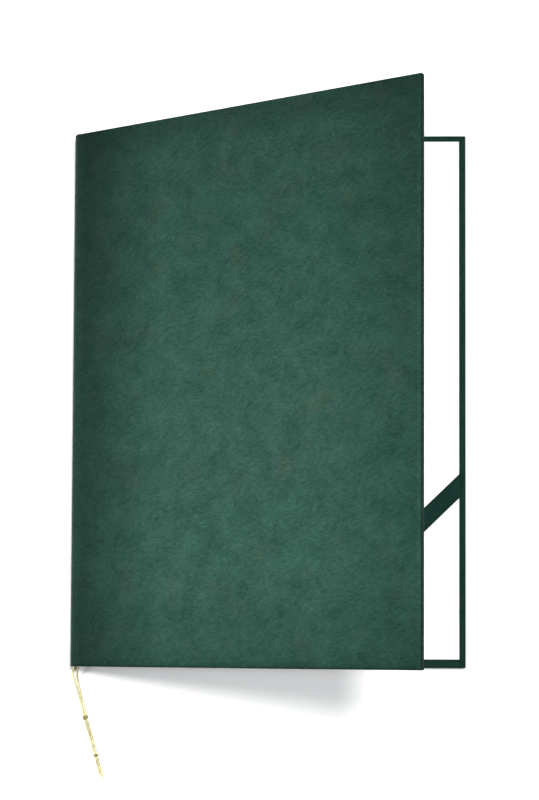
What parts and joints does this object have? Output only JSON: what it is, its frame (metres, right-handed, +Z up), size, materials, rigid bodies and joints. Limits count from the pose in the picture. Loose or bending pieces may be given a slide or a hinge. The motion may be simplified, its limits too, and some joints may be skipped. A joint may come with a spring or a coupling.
{
  "type": "congratulation folder",
  "caption": "Hard A4 presentation folder: two leatherette covers on a cloth spine, white linings, a diagonal corner strap and a gold cord tied round the spine; the front cover swings open.",
  "frame": {"origin": "centre of the back cover's underside, on the table", "axes": "+X from the spine to the fore edge, +Y from tail to head, +Z up out of the back cover"},
  "size_m": [0.228, 0.3751, 0.1209],
  "materials": {
    "leatherette": "matt brushed",
    "greyboard": "matt",
    "lining_card": "smooth",
    "gold_cord": "metallic thread"
  },
  "bodies": {
    "back_cover": {"back_cover_cloth": "leatherette", "back_board": "greyboard", "back_lining": "lining_card", "corner_strap": "leatherette", "spine_cloth": "leatherette", "spine_cord": "gold_cord", "cord_strand_inner": "gold_cord", "cord_strand_outer": "gold_cord", "cord_knot": "gold_cord", "cord_end_knot": "gold_cord", "cord_fringe": "gold_cord"},
    "front_cover": {"front_cover_cloth": "leatherette", "front_board": "greyboard", "front_lining": "lining_card"}
  },
  "joints": [
    {"name": "cover_hinge", "type": "hinge", "parent": "back_cover", "child": "front_cover", "pos_m": [-0.1106, 0, 0.00475], "axis": [0, -1, 0], "range_deg": [-30, 150], "deforming": ["spine_cloth"]}
  ]
}
